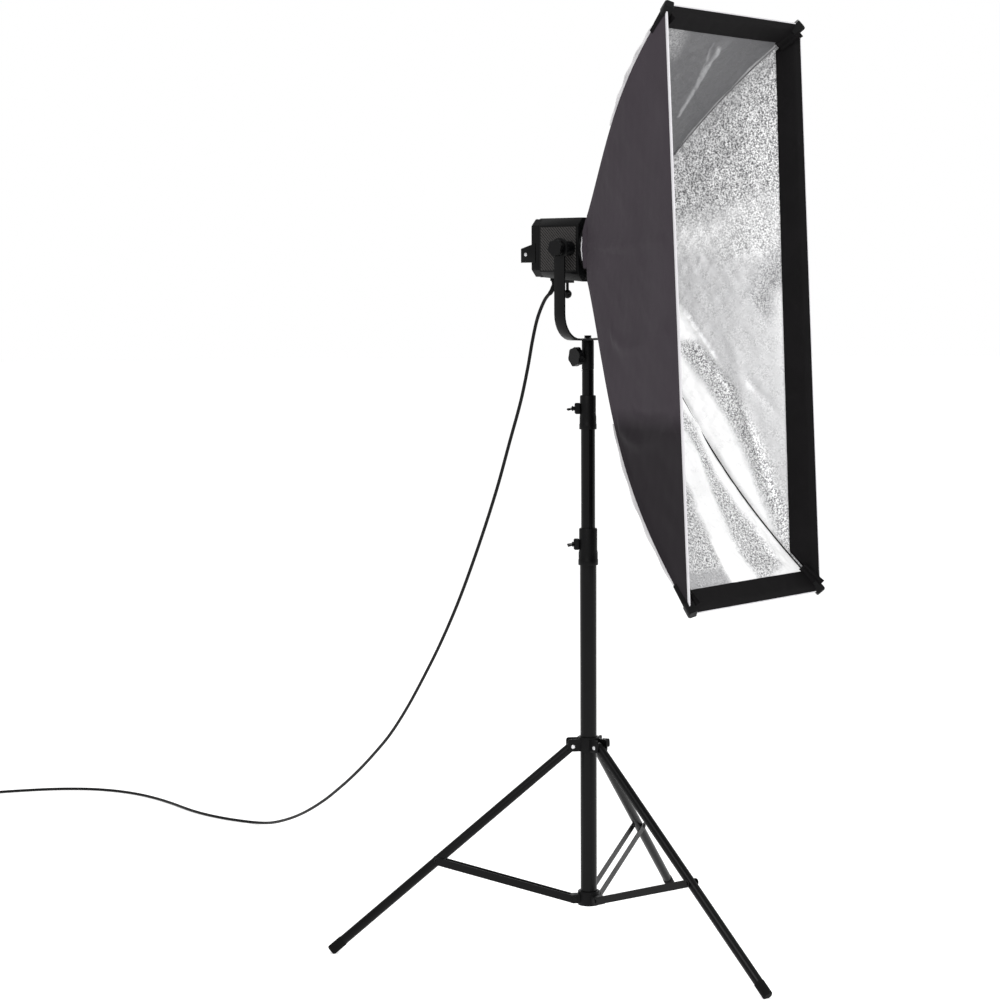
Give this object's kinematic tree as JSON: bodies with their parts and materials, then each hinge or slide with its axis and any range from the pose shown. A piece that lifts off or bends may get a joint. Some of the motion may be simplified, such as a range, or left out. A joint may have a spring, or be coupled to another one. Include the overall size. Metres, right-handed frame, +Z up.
{
  "type": "studio softbox light",
  "caption": "LED lamp head with a tall strip softbox on a folding light stand with sliding mast sections, tilting yoke and power cord.",
  "frame": {"origin": "on the floor, under the middle of the stand, lamp and softbox measured without the free cord", "axes": "+Z up along the mast; the lamp shines along -Y; +X is to the left of someone facing the softbox's front"},
  "size_m": [0.8846, 2.8783, 1.8174],
  "materials": {
    "black_tube": "semi-gloss black anodised tube",
    "black_fitting": "matte black moulded fitting",
    "black_knob": "fine-grained black knob",
    "black_rubber": "matte black rubber",
    "bright_steel": "bright plated steel",
    "black_steel": "satin black paint on steel",
    "black_casing": "satin black casing with fine ribs",
    "bare_aluminium": "bare extruded aluminium",
    "yellow_emitter": "yellow phosphor under clear resin",
    "green_board": "green circuit board",
    "charcoal_nylon": "charcoal nylon with a silver lining",
    "black_cord": "satin black cord sheath"
  },
  "bodies": {
    "base": {"base_tube": "black_tube", "mast_end_cap": "black_rubber", "lower_bracket": "black_fitting", "base_clamp": "black_fitting", "cord_run": "black_cord", "cord_coil": "black_cord", "cord_plug": "black_cord"},
    "collar": {"leg_collar": "black_fitting", "leg_pin_1": "bright_steel", "leg_pin_2": "bright_steel", "leg_pin_3": "bright_steel"},
    "collar_lock": {"collar_knob": "black_knob"},
    "base_lock": {"base_clamp_knob": "black_knob"},
    "mid_section": {"mid_tube": "black_tube", "mid_clamp": "black_fitting"},
    "mid_lock": {"mid_clamp_knob": "black_knob"},
    "top_section": {"top_tube": "black_tube", "top_spigot": "bright_steel"},
    "yoke": {"yoke_receiver": "black_fitting", "yoke_strap": "black_steel", "yoke_bolt": "bright_steel", "pivot_bolt": "bright_steel"},
    "receiver_lock": {"receiver_knob": "black_knob"},
    "lamp": {"lamp_casing": "black_casing", "rear_panel": "black_casing", "rear_bracket": "black_steel", "mount_ring": "black_fitting", "heat_sink": "bare_aluminium", "led_chip": "yellow_emitter", "fan_frame": "black_casing", "driver_board": "green_board", "cord_gland": "black_rubber"},
    "tilt_lock": {"tilt_knob": "black_knob"},
    "fan": {"fan_rotor": "black_knob"},
    "dial": {"dimmer_dial": "black_knob"},
    "button_a": {"button_1": "black_knob"},
    "button_b": {"button_2": "black_knob"},
    "switch": {"power_switch": "black_knob"},
    "latch": {"mount_latch": "black_knob"},
    "umbrella_lock": {"umbrella_screw": "bright_steel"},
    "softbox": {"mount_adapter": "bare_aluminium", "speedring": "black_fitting", "rod_1": "black_steel", "rod_2": "black_steel", "rod_3": "black_steel", "rod_4": "black_steel", "top_panel": "charcoal_nylon", "bottom_panel": "charcoal_nylon", "left_panel": "charcoal_nylon", "right_panel": "charcoal_nylon"},
    "ring_lock": {"speedring_screw": "bright_steel"},
    "leg_arm_1": {"leg_1": "black_tube", "foot_1": "black_rubber"},
    "brace_arm_1": {"brace_1": "black_steel"},
    "leg_arm_2": {"leg_2": "black_tube", "foot_2": "black_rubber"},
    "brace_arm_2": {"brace_2": "black_steel"},
    "leg_arm_3": {"leg_3": "black_tube", "foot_3": "black_rubber"},
    "brace_arm_3": {"brace_3": "black_steel"}
  },
  "joints": [
    {"name": "collar_slide", "type": "slide", "parent": "base", "child": "collar", "axis": [0, 0, 1], "range_m": [0, 0.3281]},
    {"name": "leg_hinge_1", "type": "hinge", "parent": "collar", "child": "leg_arm_1", "pos_m": [-0.06822, 0.03954, 0.402], "axis": [0.9715, -0.2368, 0], "range_deg": [0, 50.69]},
    {"name": "brace_hinge_1", "type": "hinge", "parent": "base", "child": "brace_arm_1", "pos_m": [-0.06822, 0.03954, 0.093], "axis": [-0.9715, 0.2368, 0], "range_deg": [0, 72.44]},
    {"name": "leg_hinge_2", "type": "hinge", "parent": "collar", "child": "leg_arm_2", "pos_m": [-0.02873, 0.08086, 0.402], "axis": [-0.2807, 0.9598, 0], "range_deg": [0, 50.69]},
    {"name": "brace_hinge_2", "type": "hinge", "parent": "base", "child": "brace_arm_2", "pos_m": [-0.02873, 0.08086, 0.093], "axis": [0.2807, -0.9598, 0], "range_deg": [0, 72.44]},
    {"name": "leg_hinge_3", "type": "hinge", "parent": "collar", "child": "leg_arm_3", "pos_m": [-0.08426, 0.0944, 0.402], "axis": [-0.6909, -0.723, 0], "range_deg": [0, 50.69]},
    {"name": "brace_hinge_3", "type": "hinge", "parent": "base", "child": "brace_arm_3", "pos_m": [-0.08426, 0.0944, 0.093], "axis": [0.6909, 0.723, 0], "range_deg": [0, 72.44]},
    {"name": "collar_lock_turn", "type": "hinge", "parent": "collar", "child": "collar_lock", "pos_m": [-0.04594, 0.05778, 0.406], "axis": [0.723, -0.6909, 0], "range_deg": [0, 900]},
    {"name": "base_lock_turn", "type": "hinge", "parent": "base", "child": "base_lock", "pos_m": [-0.07326, 0.08692, 0.805], "axis": [-0.6428, 0.766, 0], "range_deg": [0, 900]},
    {"name": "mid_slide", "type": "slide", "parent": "base", "child": "mid_section", "axis": [0, 0, 1], "range_m": [-0.19, 0.4], "deforming": ["cord_run"]},
    {"name": "mid_lock_turn", "type": "hinge", "parent": "mid_section", "child": "mid_lock", "pos_m": [-0.07326, 0.08692, 1.074], "axis": [-0.6428, 0.766, 0], "range_deg": [0, 900]},
    {"name": "top_slide", "type": "slide", "parent": "mid_section", "child": "top_section", "axis": [0, 0, 1], "range_m": [-0.045, 0.6], "deforming": ["cord_run"]},
    {"name": "pan_turn", "type": "hinge", "parent": "top_section", "child": "yoke", "pos_m": [-0.0604, 0.0716, 1.15], "axis": [0, 0, 1], "range_deg": [-180, 180], "deforming": ["cord_run"]},
    {"name": "receiver_lock_turn", "type": "hinge", "parent": "yoke", "child": "receiver_lock", "pos_m": [-0.07946, 0.07765, 1.1763], "axis": [-0.9532, 0.3024, 0], "range_deg": [0, 900]},
    {"name": "tilt_turn", "type": "hinge", "parent": "yoke", "child": "lamp", "pos_m": [-0.0604, 0.0716, 1.3875], "axis": [1, 0, 0], "range_deg": [-60, 18], "deforming": ["cord_run"]},
    {"name": "tilt_lock_turn", "type": "hinge", "parent": "yoke", "child": "tilt_lock", "pos_m": [-0.1604, 0.0716, 1.3875], "axis": [-1, 0, 0], "range_deg": [0, 720]},
    {"name": "fan_spin", "type": "hinge", "parent": "lamp", "child": "fan", "pos_m": [-0.0604, 0.1156, 1.3875], "axis": [0, 1, 0], "continuous": true},
    {"name": "dial_turn", "type": "hinge", "parent": "lamp", "child": "dial", "pos_m": [-0.0384, 0.1656, 1.3995], "axis": [0, 1, 0], "range_deg": [0, 270]},
    {"name": "button_a_press", "type": "slide", "parent": "lamp", "child": "button_a", "axis": [0, -1, 0], "range_m": [0, 0.0012], "stiffness_N_per_m": 400, "springref_m": -0.001},
    {"name": "button_b_press", "type": "slide", "parent": "lamp", "child": "button_b", "axis": [0, -1, 0], "range_m": [0, 0.0012], "stiffness_N_per_m": 400, "springref_m": -0.001},
    {"name": "switch_rock", "type": "hinge", "parent": "lamp", "child": "switch", "pos_m": [-0.0884, 0.1641, 1.3635], "axis": [1, 0, 0], "range_deg": [0, 12]},
    {"name": "latch_press", "type": "slide", "parent": "lamp", "child": "latch", "axis": [0, 0, 1], "range_m": [0, 0.003], "stiffness_N_per_m": 800, "springref_m": -0.001},
    {"name": "umbrella_lock_turn", "type": "hinge", "parent": "lamp", "child": "umbrella_lock", "pos_m": [-0.0604, 0.1216, 1.299], "axis": [0, 0, 1], "range_deg": [0, 900]},
    {"name": "softbox_roll", "type": "hinge", "parent": "lamp", "child": "softbox", "pos_m": [-0.0604, 0.0316, 1.3875], "axis": [0, -1, 0], "range_deg": [-180, 180]},
    {"name": "ring_lock_turn", "type": "hinge", "parent": "softbox", "child": "ring_lock", "pos_m": [-0.0604, 0.025, 1.3175], "axis": [0, 0, 1], "range_deg": [0, 900]}
  ],
  "couplings": [
    {"joint": "leg_hinge_1", "follows": "collar_slide", "rad_per_m": 2.6965},
    {"joint": "brace_hinge_1", "follows": "collar_slide", "rad_per_m": 3.8534},
    {"joint": "leg_hinge_2", "follows": "collar_slide", "rad_per_m": 2.6965},
    {"joint": "brace_hinge_2", "follows": "collar_slide", "rad_per_m": 3.8534},
    {"joint": "leg_hinge_3", "follows": "collar_slide", "rad_per_m": 2.6965},
    {"joint": "brace_hinge_3", "follows": "collar_slide", "rad_per_m": 3.8534}
  ]
}
